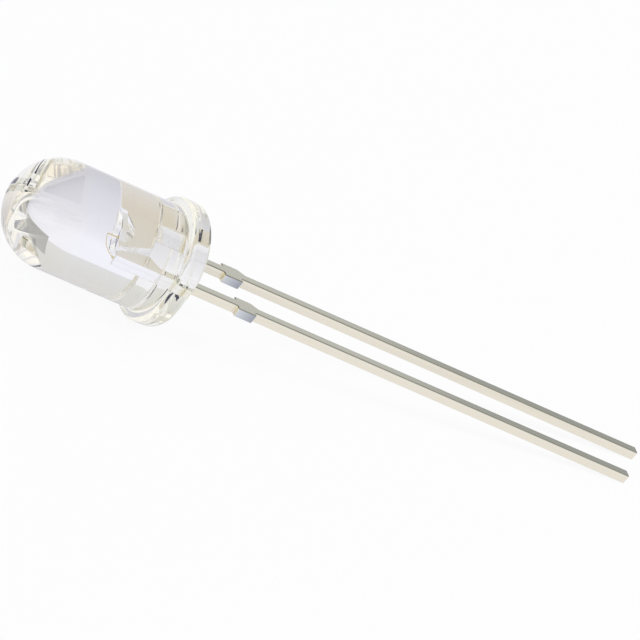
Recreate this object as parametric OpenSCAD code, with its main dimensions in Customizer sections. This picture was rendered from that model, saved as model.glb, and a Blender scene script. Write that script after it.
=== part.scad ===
// Photodiode in a clear 5 mm (T-1 3/4) epoxy package, with two square leads.
// Each piece is drawn standing: the optical axis is Z, the flange seats at Z = 0,
// the leads hang below it, and +X is the side of the short lead and of the flat.
// lay_down() then turns each piece to the way the part comes to rest on a table.

/* [Epoxy body] */
// Diameter of the barrel and of the dome
body_d = 5.0; // [4.6:0.05:5.4]
// Height from the seating face to the top of the dome
body_h = 8.66; // [7.5:0.1:12]
// How far the flange stands out of the barrel
flange_out = 0.42; // [0.3:0.01:0.6]
// Thickness of the flange
flange_h = 1.0; // [0.8:0.05:1.3]
// Radius of the flange's rounded rim
flange_round = 0.24; // [0.1:0.02:0.35]
// Radius of the fillet between the flange and the barrel
neck_fillet = 0.12; // [0.05:0.01:0.14]
// How far the flat on the flange stands out of the barrel
flat_out = 0.20; // [0.15:0.01:0.28]

/* [Leads] */
// Distance between the centres of the two leads
lead_pitch = 2.54; // [2.4:0.01:2.7]
// Width of a lead, across the sheet
lead_w = 0.45; // [0.35:0.01:0.55]
// Thickness of the sheet that the leads are stamped from
sheet_t = 0.45; // [0.35:0.01:0.5]
// Length of the long lead below the seating face
long_lead = 26.7; // [10:0.1:30]
// Length of the short lead below the seating face
short_lead = 25.3; // [9:0.1:29]

/* [Dam bar stubs] */
// Distance from the seating face to the stubs
stub_start = 2.98; // [1.5:0.02:4]
// Length of the square stub along the lead
stub_len = 0.98; // [0.5:0.02:1.6]
// How far a stub stands out of the lead
stub_out = 0.23; // [0.1:0.01:0.4]
// Length of the straight part of the tapered stub
stub_straight = 0.87; // [0.4:0.01:1.4]
// Length of its taper
stub_taper = 0.40; // [0.2:0.02:0.8]

/* [Anvil] */
// Height of the anvil's top edge above the seating face
anvil_top = 3.66; // [3.4:0.02:4.2]
// Height of the anvil's lower edge beside its lead
anvil_bottom = 1.53; // [1.3:0.01:1.8]
// Rise of the lower edge towards the near corner
anvil_rise = 0.27; // [0.1:0.01:0.4]
// Reach of the anvil's top edge past the optical axis
anvil_reach = 0.67; // [0.6:0.01:0.75]
// How far the near edge leans back on its way down
anvil_lean = 0.70; // [0.3:0.02:0.8]
// Shoulder of the anvil outside its lead
anvil_shoulder = 0.10; // [0.05:0.01:0.2]
// Corner radius of the stamped heads
stamp_round = 0.06; // [0.02:0.01:0.1]

/* [Cup] */
// Distance of the cup's middle from the optical axis, towards the long lead
cup_offset = 0.36; // [0.32:0.01:0.38]
// Radius of the two faces of the cup's almond-shaped outline
cup_face_r = 1.30; // [1.2:0.01:1.35]
// Half the thickness of the cup across the sheet
cup_half = 0.44; // [0.43:0.01:0.45]
// Height of the cup's upright rim
cup_rim_h = 0.30; // [0.2:0.01:0.45]
// Height of the taper below the rim
cup_taper_h = 0.56; // [0.25:0.01:0.65]
// Wall of the cup at its rim
cup_wall = 0.09; // [0.06:0.01:0.1]
// Depth of the cup
cup_depth = 0.36; // [0.3:0.01:0.4]
// How far the wall leans in from the rim to the floor
cup_draft = 0.05; // [0.01:0.01:0.06]

/* [Post] */
// Height of the post's top above the seating face
post_top = 3.80; // [3.5:0.02:4.3]
// Width of the post at its top
post_top_w = 0.34; // [0.28:0.01:0.4]
// Width of the post at its elbow
post_elbow_w = 0.82; // [0.6:0.01:0.84]
// Height of the elbow above the seating face
post_elbow_z = 2.72; // [2.5:0.02:3]
// Width of the post at its heel, where it is widest
post_heel_w = 0.95; // [0.88:0.01:1]
// Height of the heel above the seating face
post_heel_z = 1.96; // [1.8:0.02:2.2]
// Height at which the post has narrowed to its lead
post_neck_z = 1.38; // [1.1:0.02:1.5]

/* [Chip and bonds] */
// Distance of the chip from the optical axis, towards the long lead
chip_offset = 0.20; // [0.18:0.01:0.36]
// Side of the square chip
chip_w = 0.40; // [0.3:0.01:0.42]
// Thickness of the chip
chip_t = 0.20; // [0.15:0.01:0.22]
// Thickness of the silver adhesive under the chip
glue_t = 0.03; // [0.02:0.005:0.04]
// How far the adhesive spreads past the chip
glue_spread = 0.02; // [0.005:0.005:0.03]
// Diameter of the gold wire
wire_d = 0.035; // [0.025:0.001:0.05]
// Diameter of the pressed ball at each end of the wire
ball_d = 0.10; // [0.07:0.005:0.12]
// Height of a pressed ball
ball_h = 0.04; // [0.03:0.005:0.05]
// Height of the upright stretch of wire above the chip's ball
wire_rise = 0.44; // [0.3:0.01:0.5]
// Radius of the bend at the top of that stretch
wire_bend = 0.10; // [0.06:0.01:0.14]
// Angle at which the wire leaves the bend, above level
wire_climb = 11; // [5:1:20]
// Distance of the ball on the post from the post's outer face
post_bond_in = 0.165; // [0.1:0.005:0.2]

/* [Hidden] */
$fn = 64;
wire_fn = 12;                       // sides of the wire and of its balls
over = 0.5;                         // how far a cutting shape runs past what it cuts
taper_bite = 0.02;                  // how far the cup's taper ends inside the sheet
epoxy_color = [0.92, 0.94, 0.92, 0.35];

body_r = body_d / 2;
dome_z = body_h - body_r;           // height of the dome's centre
flange_r = body_r + flange_out;
lead_x = lead_pitch / 2;
lead_inner = lead_x - lead_w / 2;
lead_outer = lead_x + lead_w / 2;
cup_x = -cup_offset;
chip_x = -chip_offset;
cup_floor = anvil_top - cup_depth;
glue_w = chip_w + 2 * glue_spread;
chip_z = cup_floor + glue_t;
chip_top = chip_z + chip_t;

// ---- How the part rests: on the flange's rim and on the tips of both leads ----
// slope is the rise of the optical axis over the table. The short lead's tip comes down
// too, so the part also rolls, by lead_step times the slope.
lead_step = (long_lead - short_lead) / lead_pitch;
function roll_part(q) = 1 + pow(lead_step * q, 2);
function next_slope(q) =
    ((flange_r - flange_round) * sqrt(roll_part(q)) + flange_round * sqrt(roll_part(q) + q * q) - sheet_t / 2)
    / (flange_round + long_lead - lead_step * lead_inner);
slope = next_slope(next_slope(next_slope(0)));
rest_roll = atan(lead_step * slope);
rest_pitch = atan(slope / sqrt(roll_part(slope)));

// Lays what is drawn standing along X, with the dome towards +X and the short lead at +Y.
module lay_down() {
    rotate([0, -rest_pitch, 0]) rotate([-rest_roll, 0, 0]) rotate([90, 0, 90]) children();
}

// ---- Stamped outlines: a corner is [x, z, radius] ----
function unit(v) = v / norm(v);
function xz(corner) = [corner[0], corner[1]];
function fillet_points(a, b, c, steps = 6) =
    let(to_a = unit(xz(a) - xz(b)), to_c = unit(xz(c) - xz(b)), half = acos(to_a * to_c) / 2,
        centre = xz(b) + unit(to_a + to_c) * b[2] / sin(half),
        first = xz(b) + to_a * b[2] / tan(half) - centre,
        way = sign(to_c[0] * to_a[1] - to_c[1] * to_a[0]))
    [for (i = [0 : steps]) let(t = way * (180 - 2 * half) * i / steps)
        centre + [first[0] * cos(t) - first[1] * sin(t), first[0] * sin(t) + first[1] * cos(t)]];
function rounded(corners) = let(n = len(corners)) [for (i = [0 : n - 1])
    each corners[i][2] > 0
        ? fillet_points(corners[(i + n - 1) % n], corners[i], corners[(i + 1) % n])
        : [xz(corners[i])]];

module stamp(corners) {
    rotate([90, 0, 0]) linear_extrude(height = sheet_t, center = true) polygon(rounded(corners));
}

// A lead's corners below its head, from its +X edge round the tip to its -X edge. Where
// the dam bar was cut away, a square stub is left towards +X and a tapered one towards -X.
function tail(x, length) =
    let(right = x + lead_w / 2, left = x - lead_w / 2, taper_z = -stub_start - stub_straight)
    [[right, -stub_start, 0], [right + stub_out, -stub_start, 0],
     [right + stub_out, -stub_start - stub_len, 0], [right, -stub_start - stub_len, 0],
     [right, -length, 0], [left, -length, 0], [left, taper_z - stub_taper, 0],
     [left - stub_out, taper_z, 0], [left - stub_out, -stub_start, 0], [left, -stub_start, 0]];

anvil_head = [
    [-lead_outer, anvil_bottom - anvil_shoulder, stamp_round],
    [-lead_outer - anvil_shoulder, anvil_bottom, stamp_round],
    [-lead_outer - anvil_shoulder, anvil_top, stamp_round],
    [anvil_reach, anvil_top, stamp_round],
    [anvil_reach - anvil_lean, anvil_bottom + anvil_rise, 2 * stamp_round],
    [-lead_inner, anvil_bottom, stamp_round]
];
post_head = [
    [lead_inner, post_neck_z, 3 * stamp_round],
    [lead_outer - post_heel_w, post_heel_z, 2 * stamp_round],
    [lead_outer - post_elbow_w, post_elbow_z, 6 * stamp_round],
    [lead_outer - post_top_w, post_top, stamp_round],
    [lead_outer, post_top, stamp_round]
];

// ---- Cup: an almond-shaped prism, as a punch bulges the edge of the sheet ----
// grow_low and grow_high widen the almond at its lower and its upper end.
module almond(z, height, grow_low, grow_high) {
    intersection_for (side = [-1, 1])
        translate([cup_x, side * (cup_face_r - cup_half), z])
            cylinder(h = height, r1 = cup_face_r + grow_low, r2 = cup_face_r + grow_high);
}

module cup_outside() {
    almond(anvil_top - cup_rim_h, cup_rim_h, 0, 0);
    almond(anvil_top - cup_rim_h - cup_taper_h, cup_taper_h, sheet_t / 2 - taper_bite - cup_half, 0);
}

module cup_recess() {
    lean_over = cup_draft * over / cup_depth;
    almond(cup_floor, cup_depth + over, -cup_wall - cup_draft, -cup_wall + lean_over);
}

module anvil_lead_standing() {
    difference() {
        union() {
            stamp(concat(tail(-lead_x, long_lead), anvil_head));
            cup_outside();
        }
        cup_recess();
    }
}

module post_lead_standing() {
    stamp(concat(tail(lead_x, short_lead), post_head));
}

// ---- Chip and its bonds ----
module square_plate(z, side, thickness) {
    translate([chip_x - side / 2, -side / 2, z]) cube([side, side, thickness]);
}

module chip_standing() {
    square_plate(chip_z, chip_w, chip_t);
}

module die_attach_standing() {
    square_plate(cup_floor, glue_w, glue_t);
}

bond_x = lead_outer - post_bond_in;
bend_z = chip_top + ball_h + wire_rise;
bend_centre = [chip_x + wire_bend, bend_z];
span_start = bend_centre + wire_bend * [-sin(wire_climb), cos(wire_climb)];
span_end = [bond_x, post_top + ball_h / 2];
chord = span_end - span_start;
span_turn = wire_climb - atan2(chord[1], chord[0]);      // half of the angle the span turns by
span_r = norm(chord) / (2 * sin(span_turn));
span_centre = span_start + span_r * [sin(wire_climb), -cos(wire_climb)];

module wire_arc(centre, radius, from, to) {
    translate([centre[0], 0, centre[1]]) rotate([90, 0, 0]) rotate([0, 0, from])
        rotate_extrude(angle = to - from) translate([radius, 0]) circle(d = wire_d, $fn = wire_fn);
}

module ball(x, z) {
    translate([x, 0, z]) cylinder(h = ball_h, d = ball_d, $fn = wire_fn);
}

module bond_wire_standing() {
    top_angle = 90 + wire_climb;
    ball(chip_x, chip_top);
    translate([chip_x, 0, chip_top + ball_h / 2])
        cylinder(h = bend_z - chip_top - ball_h / 2, d = wire_d, $fn = wire_fn);
    wire_arc(bend_centre, wire_bend, top_angle, 180);
    wire_arc(span_centre, span_r, top_angle - 2 * span_turn, top_angle);
    ball(bond_x, post_top);
}

// ---- Epoxy body, cast round everything that it holds ----
module flange() {
    rim_r = flange_r - flange_round;
    rotate_extrude() {
        square([rim_r, flange_h]);
        translate([0, flange_round]) square([flange_r, flange_h - 2 * flange_round]);
        for (z = [flange_round, flange_h - flange_round])
            translate([rim_r, z]) circle(r = flange_round);
        difference() {
            translate([0, flange_h]) square([body_r + neck_fillet, neck_fillet]);
            translate([body_r + neck_fillet, flange_h + neck_fillet]) circle(r = neck_fillet);
        }
    }
}

module epoxy_standing() {
    difference() {
        union() {
            cylinder(h = dome_z, r = body_r);
            translate([0, 0, dome_z]) sphere(r = body_r);
            flange();
        }
        translate([body_r + flat_out, -flange_r, -over]) cube([flange_r, 2 * flange_r, flange_h + 2 * over]);
        anvil_lead_standing();
        post_lead_standing();
        chip_standing();
        die_attach_standing();
        bond_wire_standing();
    }
}

// ---- The pieces as they lie ----
module epoxy_body() { color(epoxy_color) lay_down() epoxy_standing(); }
module anvil_lead() { color("silver") lay_down() anvil_lead_standing(); }
module post_lead() { color("silver") lay_down() post_lead_standing(); }
module photodiode_chip() { color("darkslateblue") lay_down() chip_standing(); }
module die_attach() { color("gainsboro") lay_down() die_attach_standing(); }
module bond_wire() { color("gold") lay_down() bond_wire_standing(); }

epoxy_body();
anvil_lead();
post_lead();
photodiode_chip();
die_attach();
bond_wire();
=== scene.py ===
import bpy
import bmesh
import math
from mathutils import Matrix, Vector, noise


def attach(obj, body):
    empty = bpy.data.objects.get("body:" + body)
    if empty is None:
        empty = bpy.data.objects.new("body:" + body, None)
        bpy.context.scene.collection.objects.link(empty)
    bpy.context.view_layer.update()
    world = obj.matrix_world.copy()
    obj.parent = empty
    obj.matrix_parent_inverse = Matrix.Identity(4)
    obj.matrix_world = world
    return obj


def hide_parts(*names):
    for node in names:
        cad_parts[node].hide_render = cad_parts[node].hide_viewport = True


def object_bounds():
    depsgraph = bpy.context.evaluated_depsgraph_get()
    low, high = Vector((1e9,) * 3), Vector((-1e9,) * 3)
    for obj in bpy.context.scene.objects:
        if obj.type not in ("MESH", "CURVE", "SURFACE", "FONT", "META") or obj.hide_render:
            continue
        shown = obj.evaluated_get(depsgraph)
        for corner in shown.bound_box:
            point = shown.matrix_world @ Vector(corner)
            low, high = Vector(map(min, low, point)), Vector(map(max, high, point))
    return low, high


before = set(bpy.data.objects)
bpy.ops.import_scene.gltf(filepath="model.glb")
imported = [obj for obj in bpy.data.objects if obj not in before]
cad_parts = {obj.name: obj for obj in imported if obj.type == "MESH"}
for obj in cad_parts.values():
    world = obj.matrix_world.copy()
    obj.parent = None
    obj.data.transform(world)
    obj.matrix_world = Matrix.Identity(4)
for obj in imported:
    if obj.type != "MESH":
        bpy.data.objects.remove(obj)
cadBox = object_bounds()
mm = 0.001                      # the sizes below are in millimetres, and Blender's units are metres
mirrorLimit = 3.5                # light mirrored more often than this isn't followed
print("frame loaded")


# ---- small helpers ----

def linear(hexColour):
    channels = [int(hexColour[i:i + 2], 16) / 255 for i in (1, 3, 5)]
    return [c / 12.92 if c <= 0.04045 else ((c + 0.055) / 1.055) ** 2.4 for c in channels] + [1.0]


def addNode(tree, kind, inputs=None, **settings):
    made = tree.nodes.new(kind)
    for name, value in settings.items():
        setattr(made, name, value)
    for name, value in (inputs or {}).items():
        if isinstance(value, bpy.types.NodeSocket):
            tree.links.new(value, made.inputs[name])
        else:
            made.inputs[name].default_value = value
    return made


def mathNode(tree, operation, *values):
    return addNode(tree, "ShaderNodeMath", dict(enumerate(values)), operation=operation).outputs[0]


def mixColours(tree, share, first, second):
    return addNode(tree, "ShaderNodeMix", {0: share, 6: first, 7: second}, data_type="RGBA").outputs[2]


def newMaterial(name):
    material = bpy.data.materials.new(name)
    material.use_nodes = True
    material.node_tree.nodes.clear()
    return material, material.node_tree


def newObject(name, mesh):
    made = bpy.data.objects.new(name, mesh)
    bpy.context.scene.collection.objects.link(made)
    return made


# ---- sizes and how the part lies ----

part = {                        # the solids' own sizes, standing on the flange's seating face
    "bodyRadius": 2.5, "bodyHeight": 8.66,
    "flangeOut": 0.42, "flangeHeight": 1.0, "flangeRound": 0.24, "neckFillet": 0.12, "flatOut": 0.20,
    "leadPitch": 2.54, "leadWidth": 0.45, "sheet": 0.45, "longLead": 26.7, "shortLead": 25.3,
}
flangeRadius = part["bodyRadius"] + part["flangeOut"]
leadX = part["leadPitch"] / 2
leadInner = leadX - part["leadWidth"] / 2
leadOuter = leadX + part["leadWidth"] / 2


def restAngles():               # pitch and roll with the flange's rim and both tips on the table
    step = (part["longLead"] - part["shortLead"]) / part["leadPitch"]
    rim = part["flangeRound"]
    slope = 0
    for _ in range(3):
        rolled = 1 + (step * slope) ** 2
        rise = (flangeRadius - rim) * math.sqrt(rolled) + rim * math.sqrt(rolled + slope ** 2)
        rise -= part["sheet"] / 2
        slope = rise / (rim + part["longLead"] - step * leadInner)
    return math.atan(slope / math.sqrt(1 + (step * slope) ** 2)), math.atan(step * slope)


pitch, roll = restAngles()
standing = Matrix(((0, 0, 1), (1, 0, 0), (0, 1, 0))).to_4x4()          # axis to X, short lead to +Y
layDown = Matrix.Rotation(-pitch, 4, "Y") @ Matrix.Rotation(-roll, 4, "X") @ standing
standUp = layDown.inverted().to_euler()                               # turns Object coordinates back


def layMesh(mesh):              # takes a mesh drawn standing, in millimetres, to its place on the table
    mesh.transform(layDown @ Matrix.Scale(mm, 4))
    mesh.update()
    return mesh


# ---- camera ----

camera = {"azimuth": 149.244, "elevation": 22.773, "roll": 30.579, "distance": 300.0, "lens": 387.06,
          "aim": (-6.025, 3.039, 1.114)}


def makeCamera():
    around, up = math.radians(camera["azimuth"]), math.radians(camera["elevation"])
    back = Vector((math.sin(around) * math.cos(up), -math.cos(around) * math.cos(up), math.sin(up)))
    made = bpy.data.objects.new("camera", bpy.data.cameras.new("camera"))
    made.data.lens = camera["lens"]
    made.data.clip_start, made.data.clip_end = 0.01, 100
    tilt = Matrix.Rotation(math.radians(camera["roll"]), 3, "Z")
    turned = (-back).to_track_quat("-Z", "Y").to_matrix() @ tilt
    made.matrix_world = turned.to_4x4()
    made.location = (Vector(camera["aim"]) + back * camera["distance"]) * mm
    bpy.context.scene.collection.objects.link(made)
    bpy.context.scene.camera = made


makeCamera()


# ---- outlines and profiles ----

def arcPoints(centre, radius, start, stop, steps):
    angles = [math.radians(start + (stop - start) * i / steps) for i in range(steps + 1)]
    return [(centre[0] + radius * math.cos(a), centre[1] + radius * math.sin(a)) for a in angles]


def between(a, b, steps):       # the points strictly between a and b, and b
    return [(a[0] + (b[0] - a[0]) * i / steps, a[1] + (b[1] - a[1]) * i / steps) for i in range(1, steps + 1)]


def roundCorners(corners, steps=6):       # corners are (x, z, radius), in order round the outline
    outline = []
    for i, (x, z, radius) in enumerate(corners):
        here = Vector((x, z))
        before = (Vector(corners[i - 1][:2]) - here).normalized()
        after = (Vector(corners[(i + 1) % len(corners)][:2]) - here).normalized()
        half = before.angle(after) / 2
        centre = here + (before + after).normalized() * radius / math.sin(half)
        first = here + before * radius / math.tan(half) - centre
        last = here + after * radius / math.tan(half) - centre
        for k in range(steps + 1):
            outline.append(centre + (first * (1 - k / steps) + last * k / steps).normalized() * radius)
    return outline


def divideLong(outline, longest):         # adds points on the long straight stretches
    divided = []
    for a, b in zip(outline, outline[1:] + outline[:1]):
        pieces = max(1, math.ceil((b - a).length / longest))
        divided += [a.lerp(b, i / pieces) for i in range(pieces)]
    return divided


def inward(outline, distance):            # moves each point of a counterclockwise outline inwards
    moved = []
    for i, here in enumerate(outline):
        before = (here - outline[i - 1]).normalized()
        after = (outline[(i + 1) % len(outline)] - here).normalized()
        sideA, sideB = Vector((-before.y, before.x)), Vector((-after.y, after.x))
        moved.append(here + (sideA + sideB) * distance / (1 + sideA.dot(sideB)))
    return moved


def loft(bm, rings, closeEnds=True):      # joins rings of the same count, from first to last
    made = [[bm.verts.new(p) for p in ring] for ring in rings]
    faces = []
    for low, high in zip(made, made[1:]):
        count = len(low)
        faces.append([bm.faces.new((low[i], low[(i + 1) % count], high[(i + 1) % count], high[i]))
                      for i in range(count)])
    if closeEnds:
        bm.faces.new(list(reversed(made[0])))
        bm.faces.new(made[-1])
    return faces


def meshFrom(bm, name, sharpAngle=30):    # outward faces, and edges sharper than the angle kept sharp
    bmesh.ops.recalc_face_normals(bm, faces=bm.faces)
    manySided = [face for face in bm.faces if len(face.verts) > 4]
    bmesh.ops.triangulate(bm, faces=manySided, ngon_method="EAR_CLIP")
    for face in bm.faces:
        face.smooth = True
    for edge in bm.edges:
        edge.smooth = not (edge.is_manifold and edge.calc_face_angle(0) > math.radians(sharpAngle))
    mesh = bpy.data.meshes.new(name)
    bm.to_mesh(mesh)
    bm.free()
    return mesh


def bake(shape, name):          # the evaluated object as a plain mesh, and the object gone
    graph = bpy.context.evaluated_depsgraph_get()
    mesh = bpy.data.meshes.new_from_object(shape.evaluated_get(graph), depsgraph=graph)
    bpy.data.meshes.remove(shape.data)
    mesh.name = name
    return mesh


# ---- Geometry Nodes: a lathe, the flange's flat with the meniscus, and a tube ----

def newTree(name, sizes):       # sizes are the named inputs with their kinds
    tree = bpy.data.node_groups.new(name, "GeometryNodeTree")
    tree.interface.new_socket("Geometry", in_out="INPUT", socket_type="NodeSocketGeometry")
    for label, kind in sizes:
        tree.interface.new_socket(label, in_out="INPUT", socket_type="NodeSocket" + kind)
    tree.interface.new_socket("Geometry", in_out="OUTPUT", socket_type="NodeSocketGeometry")
    return tree, tree.nodes.new("NodeGroupInput")


def finishTree(tree, given, geometry):
    real = addNode(tree, "GeometryNodeRealizeInstances", {0: geometry})
    done = addNode(tree, "GeometryNodeSetMaterial", {"Geometry": real.outputs[0],
                                                     "Material": given.outputs["Material"]})
    addNode(tree, "NodeGroupOutput", {0: done.outputs[0]})


def latheTree():                # turns a profile of (radius, 0, height) round the Z axis
    tree, given = newTree("lathe", [("Segments", "Int"), ("Material", "Material")])
    profile = given.outputs["Geometry"]
    count = addNode(tree, "GeometryNodeAttributeDomainSize", {0: profile}).outputs["Point Count"]
    columns = mathNode(tree, "ADD", given.outputs["Segments"], 1)
    grid = addNode(tree, "GeometryNodeMeshGrid", {"Vertices X": columns, "Vertices Y": count}).outputs["Mesh"]
    index = addNode(tree, "GeometryNodeInputIndex").outputs[0]
    share = mathNode(tree, "DIVIDE", index, count)
    column = mathNode(tree, "FLOOR", share)
    row = mathNode(tree, "MODULO", index, count)
    place = addNode(tree, "GeometryNodeInputPosition").outputs[0]
    point = addNode(tree, "GeometryNodeSampleIndex", {"Geometry": profile, "Value": place, "Index": row},
                    data_type="FLOAT_VECTOR").outputs[0]
    turn = mathNode(tree, "DIVIDE", column, given.outputs["Segments"])
    angle = mathNode(tree, "MULTIPLY", turn, math.tau)
    turned = addNode(tree, "ShaderNodeVectorRotate", {"Vector": point, "Angle": angle},
                     rotation_type="Z_AXIS").outputs[0]
    moved = addNode(tree, "GeometryNodeSetPosition", {"Geometry": grid, "Position": turned}).outputs[0]
    joined = addNode(tree, "GeometryNodeMergeByDistance", {"Geometry": moved, "Distance": 0.0005}).outputs[0]
    smooth = addNode(tree, "GeometryNodeSetShadeSmooth", {"Geometry": joined}).outputs[0]
    finishTree(tree, given, smooth)
    return tree


def mouldTree():                # draws the flange in to its flat, and lets the epoxy climb the leads
    tree, given = newTree("mould", [(name, "Float") for name in (
        "Body Radius", "Flange Radius", "Flat Distance", "Corner Softness", "Lead Distance",
        "Lead Half Width", "Climb", "Climb Width", "Sink")] + [("Material", "Material")])

    def maths(operation, *values):
        return mathNode(tree, operation, *values)

    place = addNode(tree, "GeometryNodeInputPosition").outputs[0]
    x, y, z = addNode(tree, "ShaderNodeSeparateXYZ", {0: place}).outputs
    radius = maths("SQRT", maths("ADD", maths("MULTIPLY", x, x), maths("MULTIPLY", y, y)))
    cosine = maths("DIVIDE", x, maths("MAXIMUM", radius, 0.001))
    reach = maths("DIVIDE", given.outputs["Flat Distance"], maths("MAXIMUM", cosine, 0.25))
    rim = maths("SMOOTH_MIN", given.outputs["Flange Radius"], reach, given.outputs["Corner Softness"])
    barrel = given.outputs["Body Radius"]
    stretch = maths("DIVIDE", maths("SUBTRACT", rim, barrel),
                    maths("SUBTRACT", given.outputs["Flange Radius"], barrel))
    proud = maths("MAXIMUM", maths("SUBTRACT", radius, barrel), 0.0)
    drawn = maths("ADD", maths("MINIMUM", radius, barrel), maths("MULTIPLY", proud, stretch))
    scale = maths("DIVIDE", drawn, maths("MAXIMUM", radius, 0.001))
    # distance to the nearer lead's square, on the seating face
    half = given.outputs["Lead Half Width"]
    sideways = maths("ABSOLUTE", maths("SUBTRACT", maths("ABSOLUTE", x), given.outputs["Lead Distance"]))
    outX = maths("MAXIMUM", maths("SUBTRACT", sideways, half), 0.0)
    outY = maths("MAXIMUM", maths("SUBTRACT", maths("ABSOLUTE", y), half), 0.0)
    away = maths("SQRT", maths("ADD", maths("MULTIPLY", outX, outX), maths("MULTIPLY", outY, outY)))
    fade = maths("EXPONENT", maths("DIVIDE", maths("MULTIPLY", away, -1.0), given.outputs["Climb Width"]))
    onFace = maths("LESS_THAN", z, 0.0001)
    outShare = maths("DIVIDE", radius, given.outputs["Flange Radius"])
    dish = maths("SUBTRACT", 1.0, maths("POWER", outShare, 4.0))
    lift = maths("SUBTRACT", maths("MULTIPLY", given.outputs["Sink"], maths("MAXIMUM", dish, 0.0)),
                 maths("MULTIPLY", given.outputs["Climb"], fade))
    height = maths("ADD", z, maths("MULTIPLY", onFace, lift))
    target = addNode(tree, "ShaderNodeCombineXYZ", {0: maths("MULTIPLY", x, scale),
                                                    1: maths("MULTIPLY", y, scale), 2: height}).outputs[0]
    moved = addNode(tree, "GeometryNodeSetPosition", {"Geometry": given.outputs["Geometry"],
                                                      "Position": target})
    finishTree(tree, given, moved.outputs[0])
    return tree


def tubeTree():                 # a round wire along the path of its input mesh
    tree, given = newTree("tube", [("Radius", "Float"), ("Sides", "Int"), ("Material", "Material")])
    path = addNode(tree, "GeometryNodeMeshToCurve", {0: given.outputs["Geometry"]}).outputs[0]
    ring = addNode(tree, "GeometryNodeCurvePrimitiveCircle", {"Resolution": given.outputs["Sides"],
                                                              "Radius": given.outputs["Radius"]}).outputs[0]
    skin = addNode(tree, "GeometryNodeCurveToMesh", {"Curve": path, "Profile Curve": ring,
                                                     "Fill Caps": True}).outputs[0]
    smooth = addNode(tree, "GeometryNodeSetShadeSmooth", {"Geometry": skin}).outputs[0]
    finishTree(tree, given, smooth)
    return tree


def chainObject(name, points):  # an object whose mesh is one open chain of edges
    mesh = bpy.data.meshes.new(name)
    mesh.from_pydata(points, [(i, i + 1) for i in range(len(points) - 1)], [])
    return newObject(name, mesh)


def addTree(shape, tree, values):
    modifier = shape.modifiers.new(tree.name, "NODES")
    modifier.node_group = tree
    for item in tree.interface.items_tree:
        if item.in_out == "INPUT" and item.name in values:
            modifier[item.identifier] = values[item.name]


lathe, mould, tube = latheTree(), mouldTree(), tubeTree()


# ---- materials ----

def deviceCoordinates(tree):    # Object coordinates turned back to the standing part, in millimetres
    place = addNode(tree, "ShaderNodeTexCoord").outputs["Object"]
    turned = addNode(tree, "ShaderNodeMapping", {"Vector": place, "Rotation": standUp, "Scale": (1, 1, 1)})
    return addNode(tree, "ShaderNodeVectorMath", {0: turned.outputs[0], "Scale": 1 / mm},
                   operation="SCALE").outputs[0]


epoxy = {"ior": 1.53, "straw": "#F6F4E6", "density": 12.0, "flange": "#FCFCF0", "barrel": "#FFFFFF",
         "dome": "#FFFDF6", "glow": "#C6C2BA", "glowShade": "#ADAEB2", "ripple": 0.05, "shadow": "#F7F8F5"}


def castEpoxy():                # water-clear epoxy from a polished mould: glossy, faintly straw in depth
    material, tree = newMaterial("castClearEpoxy")
    place = deviceCoordinates(tree)
    height = addNode(tree, "ShaderNodeSeparateXYZ", {0: place}).outputs[2]
    barrelShare = addNode(tree, "ShaderNodeMapRange", {"Value": height, 1: 0.9, 2: 1.5}).outputs[0]
    domeShare = addNode(tree, "ShaderNodeMapRange", {"Value": height, 1: 5.9, 2: 6.6}).outputs[0]
    colour = mixColours(tree, barrelShare, linear(epoxy["flange"]), linear(epoxy["barrel"]))
    colour = mixColours(tree, domeShare, colour, linear(epoxy["dome"]))
    ripple = addNode(tree, "ShaderNodeTexNoise", {"Vector": place, "Scale": 0.9, "Detail": 1.0}).outputs[0]
    bump = addNode(tree, "ShaderNodeBump", {"Height": ripple, "Strength": epoxy["ripple"],
                                            "Distance": 0.00002})
    glass = addNode(tree, "ShaderNodeBsdfPrincipled", {
        "Base Color": colour, "Roughness": 0.0, "IOR": epoxy["ior"], "Transmission Weight": 1.0,
        "Normal": bump.outputs[0]})
    path = addNode(tree, "ShaderNodeLightPath")
    clear = addNode(tree, "ShaderNodeBsdfTransparent", {"Color": linear(epoxy["shadow"])})
    either = addNode(tree, "ShaderNodeMixShader", {0: path.outputs["Is Shadow Ray"], 1: glass.outputs[0],
                                                   2: clear.outputs[0]})
    # stands in for light past the limit on mirrored rays, which would be lost: a chosen tone, not a property
    mirrored = addNode(tree, "ShaderNodeFresnel", {"IOR": epoxy["ior"]}).outputs[0]
    caught = mathNode(tree, "GREATER_THAN", path.outputs["Glossy Depth"], mirrorLimit)
    held = mathNode(tree, "MULTIPLY", caught, mirrored)
    patches = addNode(tree, "ShaderNodeTexNoise", {"Vector": place, "Scale": 0.5, "Detail": 1.0}).outputs[0]
    shade = addNode(tree, "ShaderNodeMapRange", {"Value": patches, 1: 0.35, 2: 0.65}).outputs[0]
    glow = mixColours(tree, shade, linear(epoxy["glowShade"]), linear(epoxy["glow"]))
    rest = addNode(tree, "ShaderNodeEmission", {"Color": glow, "Strength": held})
    whole = addNode(tree, "ShaderNodeAddShader", {0: either.outputs[0], 1: rest.outputs[0]})
    inside = addNode(tree, "ShaderNodeVolumeAbsorption", {"Color": linear(epoxy["straw"]),
                                                          "Density": epoxy["density"]})
    addNode(tree, "ShaderNodeOutputMaterial", {"Surface": whole.outputs[0], "Volume": inside.outputs[0]})
    material.cycles.emission_sampling = "NONE"
    return material


leadMetal = {"tin": "#DADBD2", "tinEdgeLit": "#F2ECD6", "silver": "#FAF5EC", "silverEdgeLit": "#FCFCFC",
             "coined": "#FFFFFF", "cut": ("#DCE0DE", "#A2A8AE"), "rolled": "#A2A49A", "glow": "#BEBDBB",
             "tinRough": 0.16, "silverRough": 0.07, "grain": 0.12, "grainScale": (12.0, 12.0, 0.8)}


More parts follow.
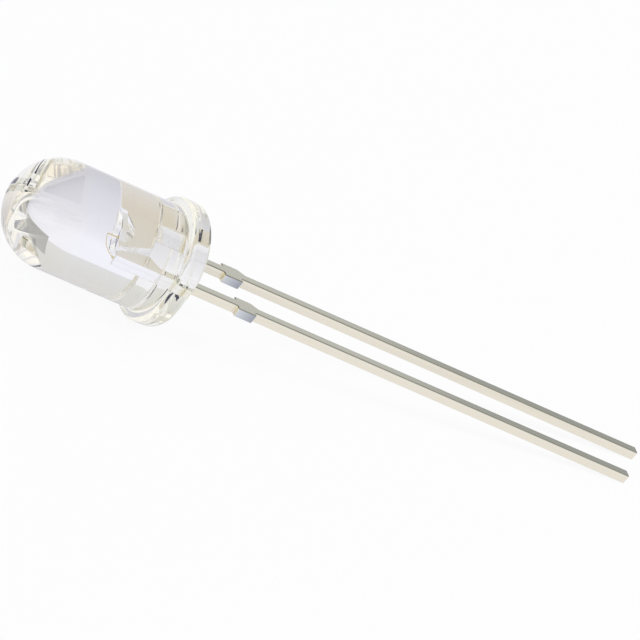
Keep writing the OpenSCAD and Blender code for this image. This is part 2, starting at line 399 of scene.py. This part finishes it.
def platedStrip():              # stamped steel strip, tin outside and silver on the heads: satin sheen
    material, tree = newMaterial("tinAndSilverPlatedSteel")
    place = deviceCoordinates(tree)
    z = addNode(tree, "ShaderNodeSeparateXYZ", {0: place}).outputs[2]
    sheared = addNode(tree, "ShaderNodeAttribute", attribute_name="sheared").outputs["Fac"]
    drawn = addNode(tree, "ShaderNodeVectorMath", {0: place, 1: leadMetal["grainScale"]},
                    operation="MULTIPLY").outputs[0]
    grain = addNode(tree, "ShaderNodeTexNoise", {"Vector": drawn, "Scale": 1.0, "Detail": 3.0}).outputs[0]
    silverShare = addNode(tree, "ShaderNodeMapRange", {"Value": z, 1: 0.05, 2: 0.3}).outputs[0]
    # the sheared edge faces take lighter, warmer copies of the tin and silver colours than the flat faces:
    # painted light, for how the narrow faces catch the light
    lower = mixColours(tree, sheared, linear(leadMetal["tin"]), linear(leadMetal["tinEdgeLit"]))
    upper = mixColours(tree, sheared, linear(leadMetal["silver"]), linear(leadMetal["silverEdgeLit"]))
    # the coined cup is drawn pure white: coined silver is bright, and the rest of the whiteness is painted
    # light that lifts the cup and its recess out of their shade
    coined = addNode(tree, "ShaderNodeAttribute", attribute_name="coined").outputs["Fac"]
    upper = mixColours(tree, coined, upper, linear(leadMetal["coined"]))
    colour = mixColours(tree, silverShare, lower, upper)
    # the dam bar was cut away after plating, so its ends are bare steel, drawn lighter at the end nearer the
    # body and darker towards the lead's tip
    start, length = stamping["stubStart"], stamping["stubLength"]
    towardsTip = addNode(tree, "ShaderNodeMapRange", {"Value": z, 1: -start, 2: -start - length}).outputs[0]
    bare = mixColours(tree, towardsTip, linear(leadMetal["cut"][0]), linear(leadMetal["cut"][1]))
    cut = addNode(tree, "ShaderNodeAttribute", attribute_name="cut").outputs["Fac"]
    colour = mixColours(tree, cut, colour, bare)
    # the rolled edge is painted grey, a painted shade along the rounded edge, so that it reads as a thin dark
    # line along the lead
    rolled = addNode(tree, "ShaderNodeAttribute", attribute_name="rolled").outputs["Fac"]
    colour = mixColours(tree, rolled, colour, linear(leadMetal["rolled"]))
    base = addNode(tree, "ShaderNodeMapRange", {"Value": silverShare, 3: leadMetal["tinRough"],
                                                4: leadMetal["silverRough"]}).outputs[0]
    spread = addNode(tree, "ShaderNodeMapRange", {"Value": grain, 1: 0.3, 2: 0.7, 3: -0.03, 4: 0.04})
    rough = mathNode(tree, "ADD", base, spread.outputs[0])
    bump = addNode(tree, "ShaderNodeBump", {"Height": grain, "Strength": leadMetal["grain"],
                                            "Distance": 0.000004})
    metal = addNode(tree, "ShaderNodeBsdfPrincipled", {"Base Color": colour, "Metallic": 1.0,
                                                       "Roughness": rough, "Normal": bump.outputs[0]})
    # painted light: mirrored rays past the limit are given a fixed glow on the metal instead of black
    depth = addNode(tree, "ShaderNodeLightPath").outputs["Glossy Depth"]         # as in the epoxy: not black
    caught = mathNode(tree, "GREATER_THAN", depth, mirrorLimit)
    rest = addNode(tree, "ShaderNodeEmission", {"Color": linear(leadMetal["glow"]), "Strength": caught})
    whole = addNode(tree, "ShaderNodeAddShader", {0: metal.outputs[0], 1: rest.outputs[0]})
    addNode(tree, "ShaderNodeOutputMaterial", {"Surface": whole.outputs[0]})
    material.cycles.emission_sampling = "NONE"
    return material


# ---- epoxy body ----

body = {"segments": 288, "rimSteps": 12, "filletSteps": 8, "domeSteps": 72, "barrelRings": 20,
        "faceRings": 60, "cornerSoftness": 0.03, "climb": 0.10, "climbWidth": 0.09, "sink": 0.03}


def makeEpoxyBody():
    radius, rim, fillet = part["bodyRadius"], part["flangeRound"], part["neckFillet"]
    top, dome = part["flangeHeight"], part["bodyHeight"] - part["bodyRadius"]
    inner = flangeRadius - rim
    profile = [(0, 0)] + between((0, 0), (inner, 0), body["faceRings"])
    profile += arcPoints((inner, rim), rim, -90, 0, body["rimSteps"])[1:]
    profile += between((flangeRadius, rim), (flangeRadius, top - rim), 6)
    profile += arcPoints((inner, top - rim), rim, 0, 90, body["rimSteps"])[1:]
    profile += between((inner, top), (radius + fillet, top), 2)
    profile += arcPoints((radius + fillet, top + fillet), fillet, 270, 180, body["filletSteps"])[1:]
    profile += between((radius, top + fillet), (radius, dome), body["barrelRings"])
    profile += arcPoints((0, dome), radius, 0, 90, body["domeSteps"])[1:]
    shape = chainObject("epoxyProfile", [(r, 0, z) for r, z in profile])
    material = castEpoxy()
    addTree(shape, lathe, {"Segments": body["segments"], "Material": material})
    addTree(shape, mould, {
        "Body Radius": radius, "Flange Radius": flangeRadius, "Flat Distance": radius + part["flatOut"],
        "Corner Softness": body["cornerSoftness"], "Lead Distance": leadX,
        "Lead Half Width": part["leadWidth"] / 2, "Climb": body["climb"],
        "Climb Width": body["climbWidth"], "Sink": body["sink"], "Material": material})
    mesh = bake(shape, "clearEpoxyBody")
    made = newObject("clearEpoxyBody", layMesh(mesh))
    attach(made, "root")
    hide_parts("epoxy_body")
    return made


epoxyBody = makeEpoxyBody()
print("epoxy body made:", len(epoxyBody.data.polygons), "faces")


# ---- leads ----

stamping = {                    # one strip, sheared and coined; heights are above the seating face
    "dieRoll": 0.04, "burnish": 0.43, "breakLean": 0.012, "burr": 0.02, "capRing": 0.008, "cornerRound": 0.05,
    "stubStart": 2.98, "stubLength": 0.98, "stubOut": 0.23, "stubStraight": 0.87, "stubTaper": 0.40,
}
anvil = {"top": 3.66, "bottom": 1.53, "rise": 0.27, "reach": 0.67, "lean": 0.70, "shoulder": 0.10,
         "round": 0.06}
cup = {"offset": 0.36, "faceRadius": 1.30, "half": 0.44, "rim": 0.30, "taper": 0.56, "bite": 0.02,
       "wall": 0.09, "depth": 0.36, "draft": 0.05, "lip": 0.03, "floorRound": 0.04}
post = {"top": 3.80, "topWidth": 0.34, "elbowWidth": 0.82, "elbow": 2.72, "heelWidth": 0.95, "heel": 1.96,
        "neck": 1.38, "round": 0.06}


def tailCorners(x, length):     # below the head, from the +X edge round the tip, with the cut dam bar's stubs
    right, left, soft = x + part["leadWidth"] / 2, x - part["leadWidth"] / 2, stamping["cornerRound"]
    start, out = -stamping["stubStart"], stamping["stubOut"]
    squareEnd, taperStart = start - stamping["stubLength"], start - stamping["stubStraight"]
    return [(right, start, soft), (right + out, start, soft), (right + out, squareEnd, soft),
            (right, squareEnd, soft), (right, -length, soft), (left, -length, soft),
            (left, taperStart - stamping["stubTaper"], 3 * soft), (left - out, taperStart, soft),
            (left - out, start, soft), (left, start, soft)]


anvilCorners = [
    (-leadOuter, anvil["bottom"] - anvil["shoulder"], anvil["round"]),
    (-leadOuter - anvil["shoulder"], anvil["bottom"], anvil["round"]),
    (-leadOuter - anvil["shoulder"], anvil["top"], anvil["round"]),
    (anvil["reach"], anvil["top"], anvil["round"]),
    (anvil["reach"] - anvil["lean"], anvil["bottom"] + anvil["rise"], 2 * anvil["round"]),
    (-leadInner, anvil["bottom"], anvil["round"])]
postCorners = [
    (leadInner, post["neck"], 3 * post["round"]),
    (leadOuter - post["heelWidth"], post["heel"], 2 * post["round"]),
    (leadOuter - post["elbowWidth"], post["elbow"], 6 * post["round"]),
    (leadOuter - post["topWidth"], post["top"], post["round"]),
    (leadOuter, post["top"], post["round"])]


def stampedSheet(name, corners):          # sheared through: rolled edge, smooth band, torn band, small burr
    outline = divideLong(roundCorners(corners), 0.6)
    area = sum(a.x * b.y - b.x * a.y for a, b in zip(outline, outline[1:] + outline[:1]))
    if area < 0:
        outline.reverse()
    half, rolled = part["sheet"] / 2, stamping["dieRoll"]
    tear = -half + part["sheet"] * stamping["burnish"]
    lean, burr = stamping["breakLean"], stamping["burr"]
    layers = [(-half, rolled + stamping["capRing"])]
    layers += [(-half + rolled * (1 - math.cos(a)), rolled * (1 - math.sin(a)))
               for a in (math.pi / 8 * i for i in range(5))]
    layers += [(tear, 0), (tear + lean, lean / 2), (half - burr, lean),
               (half - 0.3 * burr, lean + 0.3 * burr), (half, lean + burr),
               (half, lean + burr + stamping["capRing"])]
    bm = bmesh.new()
    loft(bm, [[(p.x, -y, p.y) for p in inward(outline, inset)] for y, inset in layers])
    return newObject(name, meshFrom(bm, name, 20))


def almondRing(z, grow, steps=24):        # the outline where two circles overlap, grown by that much
    radius, back = cup["faceRadius"] + grow, cup["faceRadius"] - cup["half"]
    low = math.degrees(math.asin(back / radius))
    upper = arcPoints((-cup["offset"], -back), radius, low, 180 - low, steps)[:-1]
    return [(x, y, z) for x, y in upper] + [(-2 * cup["offset"] - x, -y, z) for x, y in upper]


def almondSolid(name, levels):
    bm = bmesh.new()
    loft(bm, [almondRing(z, grow) for z, grow in levels])
    return newObject(name, meshFrom(bm, name, 20))


def combine(shape, tool, operation):
    modifier = shape.modifiers.new(operation, "BOOLEAN")
    modifier.operation, modifier.object, modifier.solver = operation, tool, "MANIFOLD"
    name = shape.name
    mesh = bake(shape, name)
    bpy.data.meshes.remove(tool.data)
    return newObject(name, mesh)


def onShear(face):              # how far a face turns from the sheet's own faces
    return 1.0 - abs(face.normal.y)


def onCup(face):                # whether a face of the standing part is on the coined cup, inside or outside
    place = face.center
    radius, back = cup["faceRadius"] + 0.01, cup["faceRadius"] - cup["half"]
    inside = all(math.hypot(place.x + cup["offset"], place.y - side * back) < radius for side in (-1, 1))
    coinedFace = abs(place.y) > part["sheet"] / 2 + 0.001 or place.z > anvil["top"] - cup["depth"] - 0.001
    return inside and coinedFace and place.z > anvil["top"] - cup["rim"] - cup["taper"]


def onCut(face):                # whether a face is the end of a stub, where the dam bar was cut away
    outside = abs(abs(face.center.x) - leadX) > part["leadWidth"] / 2 + 0.1
    return outside and face.center.z < -stamping["stubStart"] and abs(face.normal.x) > 0.85


def onRoll(face):               # whether a face is on the rolled edge of the stamping, below the seating face
    edge = part["sheet"] / 2 - stamping["dieRoll"]
    return face.center.z < 0 and face.center.y > edge and face.normal.y < 0.99


def finishLead(shape, node):        # marks the faces by how they were made, and lays the lead down
    bm = bmesh.new()
    bm.from_mesh(shape.data)
    bmesh.ops.remove_doubles(bm, verts=bm.verts, dist=0.0005)
    name = shape.name
    bpy.data.meshes.remove(shape.data)
    mesh = meshFrom(bm, name, 20)
    for mark, valueOf in (("sheared", onShear), ("coined", onCup), ("cut", onCut), ("rolled", onRoll)):
        values = mesh.attributes.new(mark, "FLOAT", "FACE")
        values.data.foreach_set("value", [float(valueOf(face)) for face in mesh.polygons])
    mesh.materials.clear()
    mesh.materials.append(strip)
    made = newObject(name, layMesh(mesh))
    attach(made, "root")
    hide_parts(node)
    return made


def makeAnvilLead():
    sheet = stampedSheet("longAnvilLead", tailCorners(-leadX, part["longLead"]) + anvilCorners)
    top, lip, wall = anvil["top"], cup["lip"], cup["wall"]
    rimFoot = top - cup["rim"]
    foot = part["sheet"] / 2 - cup["bite"] - cup["half"]
    bulge = almondSolid("cupBulge", [
        (rimFoot - cup["taper"], foot), (rimFoot - 0.02, -0.012), (rimFoot + 0.01, 0),
        (top - lip, 0), (top - 0.3 * lip, -0.3 * lip), (top, -lip)])
    floor, lean = top - cup["depth"], cup["draft"]
    recess = almondSolid("cupRecess", [
        (floor, -wall - lean - cup["floorRound"]), (floor + 0.3 * cup["floorRound"], -wall - lean - 0.01),
        (floor + cup["floorRound"], -wall - lean), (top - lip, -wall), (top - 0.3 * lip, 0.3 * lip - wall),
        (top, lip - wall), (top + 0.3, lip - wall)])
    coined = combine(combine(sheet, bulge, "UNION"), recess, "DIFFERENCE")
    return finishLead(coined, "anvil_lead")


strip = platedStrip()
anvilLead = makeAnvilLead()
postLead = finishLead(stampedSheet("shortPostLead", tailCorners(leadX, part["shortLead"]) + postCorners),
                      "post_lead")
print("leads made:", len(anvilLead.data.polygons) + len(postLead.data.polygons), "faces")


# ---- chip, adhesive and wire ----

chip = {"offset": 0.20, "width": 0.40, "height": 0.20, "corner": 0.008, "kerf": 0.012, "step": 0.003,
        "frameOut": 0.170, "frameIn": 0.156, "pad": 0.066, "sawnAndLit": ("#B4B7C0", "#CBCDD4"),
        "window": "#666C92", "aluminium": "#E2E3E6", "sawScale": (40.0, 40.0, 260.0)}
glue = {"thickness": 0.03, "spread": 0.02, "climb": 0.055, "lump": 0.006, "tones": ("#F6F5F2", "#E4E3DF")}
wire = {"diameter": 0.030, "ballWidth": 0.10, "ballHeight": 0.04, "rise": 0.44, "bend": 0.10, "climb": 11.0,
        "bondIn": 0.165, "sides": 16, "tones": ("#F0DA92", "#FAEDBE")}
cupFloor = anvil["top"] - cup["depth"]
chipFoot = cupFloor + glue["thickness"]
chipTop = chipFoot + chip["height"]


def squareRing(half, z, corner, steps=4):       # a square with round corners about the chip's axis
    corners = [(half, -half, corner), (half, half, corner), (-half, half, corner), (-half, -half, corner)]
    return [(p.x - chip["offset"], p.y, z) for p in roundCorners(corners, steps)]


def diffusedSilicon():          # sawn silicon, blue nitride window, sputtered aluminium: glassy and sharp
    material, tree = newMaterial("diffusedSilicon")
    layer = addNode(tree, "ShaderNodeAttribute", attribute_name="layer").outputs["Fac"]
    place = deviceCoordinates(tree)
    saw = addNode(tree, "ShaderNodeVectorMath", {0: place, 1: chip["sawScale"]},
                  operation="MULTIPLY").outputs[0]
    marks = addNode(tree, "ShaderNodeTexNoise", {"Vector": saw, "Scale": 1.0, "Detail": 2.0}).outputs[0]
    # the pale sawn tones are partly the silicon's own grey and partly painted light that lifts the chip's
    # sides out of the shade in the cup
    bare = mixColours(tree, marks, linear(chip["sawnAndLit"][0]), linear(chip["sawnAndLit"][1]))
    window = addNode(tree, "ShaderNodeMapRange", {"Value": layer, 1: 0.5, 2: 0.6}).outputs[0]
    metalShare = addNode(tree, "ShaderNodeMapRange", {"Value": layer, 1: 1.5, 2: 1.6}).outputs[0]
    colour = mixColours(tree, window, bare, linear(chip["window"]))
    colour = mixColours(tree, metalShare, colour, linear(chip["aluminium"]))
    rough = addNode(tree, "ShaderNodeMapRange", {"Value": layer, 1: 0.0, 2: 1.0, 3: 0.35, 4: 0.08}).outputs[0]
    bump = addNode(tree, "ShaderNodeBump", {"Height": marks, "Strength": 0.2, "Distance": 0.000002})
    shine = addNode(tree, "ShaderNodeMapRange", {"Value": layer, 1: 0.0, 2: 0.5, 3: 0.6, 4: 0.0}).outputs[0]
    shine = mathNode(tree, "MAXIMUM", shine, metalShare)
    face = addNode(tree, "ShaderNodeBsdfPrincipled", {"Base Color": colour, "Metallic": shine,
                                                      "Roughness": rough, "IOR": 3.9,
                                                      "Normal": bump.outputs[0]})
    addNode(tree, "ShaderNodeOutputMaterial", {"Surface": face.outputs[0]})
    return material


def makeChip():
    half, kerf, corner, step = chip["width"] / 2, chip["kerf"], chip["corner"], chip["step"]
    rings = [(half - kerf / 2, chipFoot, 0), (half, chipFoot + kerf / 2, 0), (half, chipTop - kerf, 0),
             (half - kerf, chipTop - kerf / 2, 0), (half - 2 * kerf, chipTop - kerf / 2, 0),
             (chip["frameOut"], chipTop - step, 0), (chip["frameOut"], chipTop, 2),
             (chip["frameIn"], chipTop, 2), (chip["frameIn"], chipTop - step, 2),
             (chip["pad"] + step, chipTop - step, 1), (chip["pad"], chipTop, 2)]
    bm = bmesh.new()
    mark = bm.faces.layers.float.new("layer")
    layers = loft(bm, [squareRing(reach, z, corner) for reach, z, _ in rings])
    for band, (_, _, kind) in zip(layers, rings[1:]):
        for face in band:
            face[mark] = kind
    bm.faces.ensure_lookup_table()
    bm.faces[-1][mark] = 2
    mesh = meshFrom(bm, "siliconChip", 20)
    mesh.materials.append(diffusedSilicon())
    made = newObject("siliconChip", layMesh(mesh))
    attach(made, "root")
    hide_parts("photodiode_chip")


def silverGlue():               # silver flakes in epoxy, stamped and cured: pale grey, satin, a little lumpy
    material, tree = newMaterial("silverFilledEpoxy")
    place = deviceCoordinates(tree)
    flakes = addNode(tree, "ShaderNodeTexVoronoi", {"Vector": place, "Scale": 60.0})
    # the pale tones are partly the paste's own grey and partly painted light that lifts it out of the shade
    # in the cup
    colour = mixColours(tree, flakes.outputs["Distance"], linear(glue["tones"][0]), linear(glue["tones"][1]))
    bump = addNode(tree, "ShaderNodeBump", {"Height": flakes.outputs["Distance"], "Strength": 0.4,
                                            "Distance": 0.000004})
    paste = addNode(tree, "ShaderNodeBsdfPrincipled", {"Base Color": colour, "Metallic": 0.9,
                                                       "Roughness": 0.36, "Normal": bump.outputs[0]})
    addNode(tree, "ShaderNodeOutputMaterial", {"Surface": paste.outputs[0]})
    return material


def makeGlue():                 # a squeezed-out bead that climbs the chip's sides a little
    half, out = chip["width"] / 2, glue["spread"]
    levels = [(half + out, cupFloor, 0.07), (half + out, cupFloor + 0.5 * glue["thickness"], 0.07)]
    for i in range(1, 6):
        share = i / 5
        reach, height = half + out * (1 - share) ** 2 + 0.002, chipFoot + glue["climb"] * share ** 2
        levels.append((reach, height, 0.05 - 0.03 * share))
    levels.append((half - 0.004, levels[-1][1] - 0.002, 0.02))
    bm = bmesh.new()
    loft(bm, [squareRing(reach, z, corner, 6) for reach, z, corner in levels])
    for vert in bm.verts:
        if vert.co.z > cupFloor + 0.001:
            vert.co.z += glue["lump"] * noise.noise(vert.co * 9)
    mesh = meshFrom(bm, "dieAttach", 40)
    mesh.materials.append(silverGlue())
    made = newObject("dieAttach", layMesh(mesh))
    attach(made, "root")
    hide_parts("die_attach")


def drawnGold():                # fine gold wire, drawn and annealed: warm, bright, faint die lines along it
    material, tree = newMaterial("drawnGoldWire")
    place = deviceCoordinates(tree)
    lines = addNode(tree, "ShaderNodeTexNoise", {"Vector": place, "Scale": 90.0, "Detail": 1.0}).outputs[0]
    colour = mixColours(tree, lines, linear(wire["tones"][0]), linear(wire["tones"][1]))
    rough = addNode(tree, "ShaderNodeMapRange", {"Value": lines, 1: 0.3, 2: 0.7, 3: 0.18, 4: 0.3}).outputs[0]
    metal = addNode(tree, "ShaderNodeBsdfPrincipled", {"Base Color": colour, "Metallic": 1.0,
                                                       "Roughness": rough})
    addNode(tree, "ShaderNodeOutputMaterial", {"Surface": metal.outputs[0]})
    return material


def pressedBall(name, x, z, material):    # a ball flattened by the bonding tool, with a small cone above
    half, tall, neck = wire["ballWidth"] / 2, wire["ballHeight"], wire["diameter"] / 2
    bulge = tall / 2
    profile = [(0, 0), (half - 0.8 * bulge, 0)]
    profile += arcPoints((half - bulge, bulge), bulge, -60, 80, 8)
    profile += [(1.7 * neck, tall + 0.004), (1.15 * neck, tall + 0.016)]
    profile += [(neck, tall + 0.03), (0, tall + 0.03)]
    shape = chainObject(name, [(r, 0, h) for r, h in profile])
    addTree(shape, lathe, {"Segments": 24, "Material": material})
    mesh = bake(shape, name)
    mesh.transform(Matrix.Translation((x, 0, z)))
    return mesh


def makeBondWire():
    gold = drawnGold()
    bondX, bondZ = leadOuter - wire["bondIn"], post["top"]
    start = Vector((-chip["offset"], chipTop + wire["ballHeight"] / 2))
    bendCentre = (start.x + wire["bend"], chipTop + wire["ballHeight"] + wire["rise"])
    path = [start] + arcPoints(bendCentre, wire["bend"], 180, 90 + wire["climb"], 8)
    spanStart, spanEnd = Vector(path[-1]), Vector((bondX, bondZ + wire["ballHeight"] / 2))
    chord = spanEnd - spanStart
    turn = wire["climb"] - math.degrees(math.atan2(chord.y, chord.x))
    radius = chord.length / 2 / math.sin(math.radians(turn))
    down = math.radians(wire["climb"])
    spanCentre = spanStart + radius * Vector((math.sin(down), -math.cos(down)))
    path += arcPoints(spanCentre, radius, 90 + wire["climb"], 90 + wire["climb"] - 2 * turn, 40)[1:]
    shape = chainObject("bondWire", [(p[0], 0, p[1]) for p in path])
    addTree(shape, tube, {"Radius": wire["diameter"] / 2, "Sides": wire["sides"], "Material": gold})
    bm = bmesh.new()
    for mesh in (bake(shape, "wireSpan"), pressedBall("chipBall", -chip["offset"], chipTop, gold),
                 pressedBall("postBall", bondX, bondZ, gold)):
        bm.from_mesh(mesh)
        bpy.data.meshes.remove(mesh)
    mesh = meshFrom(bm, "goldBondWire", 40)
    mesh.materials.append(gold)
    made = newObject("goldBondWire", layMesh(mesh))
    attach(made, "root")
    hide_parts("bond_wire")


makeChip()
makeGlue()
makeBondWire()
print("chip, adhesive and wire made")


# ---- floor, world and lamps ----

studio = {
    "floorRadius": 1.5, "floor": "#F0F0FA", "seenShare": 0.9, "throughShare": 0.8,
    "shade": "#C4C4D2", "open": "#F6F6FF", "shadeCentre": (3.0, -1.5), "shadeReach": (0.0, 7.5),
    "shadeStretch": 0.5,
    "levels": ((-1.0, "#F4F4F8"), (-0.02, "#E4E4E8"), (0.02, "#DEDEDE"), (0.25, "#DADAD8"), (0.7, "#DAD6CE"),
               (0.85, "#E0E0E4"), (1.0, "#E8E8EC")),
    "cards": ((28, 12, 30, "#FFFFFF"), (-76, 52, 15.5, "#10163A"), (-50, 10, 9.5, "#10163A")),
    "flags": ((-145, 40, 23, 14, "#B0B0AE"), (141, 60, 36, 13, "#0E1434")),
    "lamp": (150, 60, 0.5, 0.35, 0.9),
}


def towards(azimuth, elevation):
    around, up = math.radians(azimuth), math.radians(elevation)
    return Vector((math.cos(around) * math.cos(up), math.sin(around) * math.cos(up), math.sin(up)))


def makeFloor():
    bm = bmesh.new()
    bmesh.ops.create_circle(bm, cap_ends=True, segments=96, radius=studio["floorRadius"])
    mesh = bpy.data.meshes.new("floor")
    bm.to_mesh(mesh)
    bm.free()
    made = newObject("floor", mesh)
    made.location.z = cadBox[0].z
    material, tree = newMaterial("whiteTable")
    path = addNode(tree, "ShaderNodeLightPath")
    bent = mathNode(tree, "MAXIMUM", path.outputs["Is Glossy Ray"], path.outputs["Is Transmission Ray"])
    bentShare = mathNode(tree, "MULTIPLY", bent, studio["throughShare"])
    seenShare = mathNode(tree, "MULTIPLY", path.outputs["Is Camera Ray"], studio["seenShare"])
    share = mathNode(tree, "MAXIMUM", bentShare, seenShare)
    # for bent and mirrored rays the table is darker near the part: a chosen tone, not a traced shadow
    centreX, centreY = studio["shadeCentre"]
    place = addNode(tree, "ShaderNodeTexCoord").outputs["Object"]
    offset = addNode(tree, "ShaderNodeVectorMath", {0: place, 1: (centreX * mm, centreY * mm, 0)},
                     operation="SUBTRACT").outputs[0]
    stretch = (studio["shadeStretch"] / mm, 1 / mm, 0)
    scaled = addNode(tree, "ShaderNodeVectorMath", {0: offset, 1: stretch}, operation="MULTIPLY").outputs[0]
    away = addNode(tree, "ShaderNodeVectorMath", {0: scaled}, operation="LENGTH").outputs["Value"]
    nearest, farthest = studio["shadeReach"]
    openShare = addNode(tree, "ShaderNodeMapRange", {"Value": away, 1: nearest, 2: farthest}).outputs[0]
    below = mixColours(tree, openShare, linear(studio["shade"]), linear(studio["open"]))
    colour = mixColours(tree, bent, (1, 1, 1, 1), below)
    white = addNode(tree, "ShaderNodeBsdfDiffuse", {"Color": linear(studio["floor"])})
    light = addNode(tree, "ShaderNodeEmission", {"Color": colour, "Strength": 1.0})
    both = addNode(tree, "ShaderNodeMixShader", {0: share, 1: white.outputs[0], 2: light.outputs[0]})
    addNode(tree, "ShaderNodeOutputMaterial", {"Surface": both.outputs[0]})
    mesh.materials.append(material)


def makeFlag(azimuth, distance, width, height, tone):     # a card that only mirrored and bent rays meet
    mesh = bpy.data.meshes.new("flag")
    side = width / 2
    mesh.from_pydata([(-side, 0, 0), (side, 0, 0), (side, 0, height), (-side, 0, height)], [], [(0, 1, 2, 3)])
    away = towards(azimuth, 0) * distance * mm + Vector((0, 0, cadBox[0].z))
    facing = Matrix.Rotation(math.radians(azimuth + 90), 4, "Z")
    mesh.transform(Matrix.Translation(away) @ facing @ Matrix.Scale(mm, 4))
    made = newObject("flag", mesh)
    made.visible_camera = made.visible_diffuse = made.visible_shadow = False
    material, tree = newMaterial("studioFlag")
    cloth = addNode(tree, "ShaderNodeEmission", {"Color": linear(tone), "Strength": 1.0})
    addNode(tree, "ShaderNodeOutputMaterial", {"Surface": cloth.outputs[0]})
    mesh.materials.append(material)


def makeWorld():                # a pale room, with a light card and two dark ones placed for this view
    world = bpy.data.worlds.new("studio")
    bpy.context.scene.world = world
    world.use_nodes = True
    tree = world.node_tree
    tree.nodes.clear()
    way = addNode(tree, "ShaderNodeTexCoord").outputs["Generated"]
    height = addNode(tree, "ShaderNodeSeparateXYZ", {0: way}).outputs[2]
    share = addNode(tree, "ShaderNodeMapRange", {"Value": height, 1: -1.0, 2: 1.0}).outputs[0]
    ramp = addNode(tree, "ShaderNodeValToRGB", {0: share})
    stops = ramp.color_ramp.elements
    while len(stops) < len(studio["levels"]):
        stops.new(0.5)
    for stop, (level, colour) in zip(stops, studio["levels"]):
        stop.position, stop.color = (level + 1) / 2, linear(colour)
    colour = ramp.outputs[0]
    for azimuth, elevation, halfAngle, tone in studio["cards"]:
        along = addNode(tree, "ShaderNodeVectorMath", {0: way, 1: towards(azimuth, elevation)},
                        operation="DOT_PRODUCT").outputs["Value"]
        outer, inner = math.cos(math.radians(halfAngle)), math.cos(math.radians(0.85 * halfAngle))
        cover = addNode(tree, "ShaderNodeMapRange", {"Value": along, 1: outer, 2: inner},
                        interpolation_type="SMOOTHSTEP").outputs[0]
        colour = mixColours(tree, cover, colour, linear(tone))
    seen = addNode(tree, "ShaderNodeLightPath").outputs["Is Camera Ray"]
    colour = mixColours(tree, seen, colour, (1, 1, 1, 1))
    back = addNode(tree, "ShaderNodeBackground", {"Color": colour, "Strength": 1.0})
    addNode(tree, "ShaderNodeOutputWorld", {"Surface": back.outputs[0]})


def makeLamp(name, azimuth, elevation, distance, width, power):
    lamp = bpy.data.lights.new(name, "AREA")
    lamp.shape, lamp.size, lamp.energy = "DISK", width, power
    made = bpy.data.objects.new(name, lamp)
    made.matrix_world = (-towards(azimuth, elevation)).to_track_quat("-Z", "Y").to_matrix().to_4x4()
    made.location = towards(azimuth, elevation) * distance
    made.visible_glossy = made.visible_transmission = False
    bpy.context.scene.collection.objects.link(made)


makeFloor()
for flag in studio["flags"]:
    makeFlag(*flag)
makeWorld()
makeLamp("softbox", *studio["lamp"])
bpy.context.scene.view_settings.view_transform = "Standard"
print("stage made")
